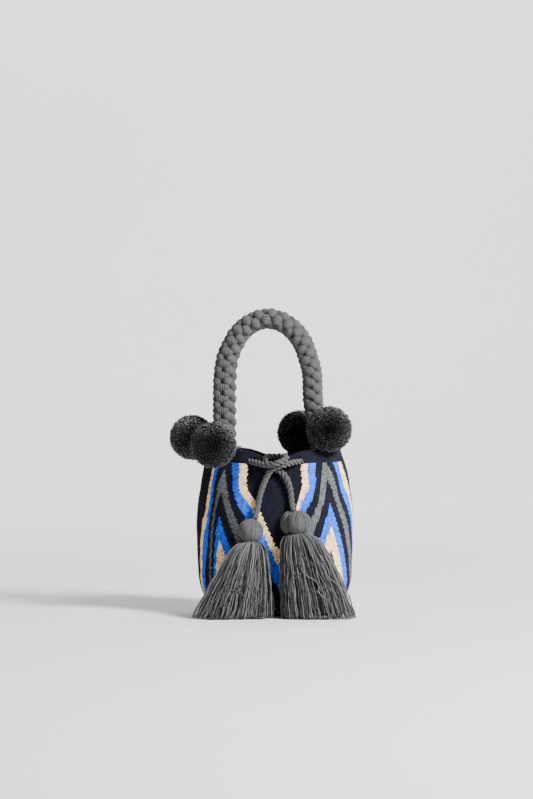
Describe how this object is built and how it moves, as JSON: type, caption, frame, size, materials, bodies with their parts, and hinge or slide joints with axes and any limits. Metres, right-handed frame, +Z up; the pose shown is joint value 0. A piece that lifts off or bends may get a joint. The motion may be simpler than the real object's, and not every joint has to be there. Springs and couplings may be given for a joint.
{
  "type": "wayuu mochila bag",
  "caption": "Small crocheted bucket bag with zigzag bands, a braided rope handle, pompoms and a drawstring with tassels.",
  "frame": {"origin": "middle of the bag's flat base, on the surface that it stands on", "axes": "+Z up through the mouth and the handle, +X to the right as seen from the front, the tasselled front facing -Y"},
  "size_m": [0.2228, 0.2023, 0.3647],
  "materials": {
    "bag_yarn": "matt yarn",
    "braid_yarn": "matt yarn",
    "pompom_yarn": "matt yarn",
    "cord_yarn": "matt yarn",
    "tassel_yarn": "matt yarn"
  },
  "bodies": {
    "root": {"bag_body": "bag_yarn", "handle_braid": "braid_yarn", "pompom_left_front": "pompom_yarn", "pompom_left_back": "pompom_yarn", "pompom_right_front": "pompom_yarn", "pompom_right_back": "pompom_yarn", "pompom_tie_left": "cord_yarn", "pompom_tie_right": "cord_yarn", "drawstring_run": "cord_yarn", "drawstring_left_end": "cord_yarn", "drawstring_right_end": "cord_yarn", "tassel_left_head": "tassel_yarn", "tassel_right_head": "tassel_yarn", "tassel_left_neck_tie": "cord_yarn", "tassel_right_neck_tie": "cord_yarn", "tassel_left_skirt": "tassel_yarn", "tassel_right_skirt": "tassel_yarn"}
  },
  "joints": []
}
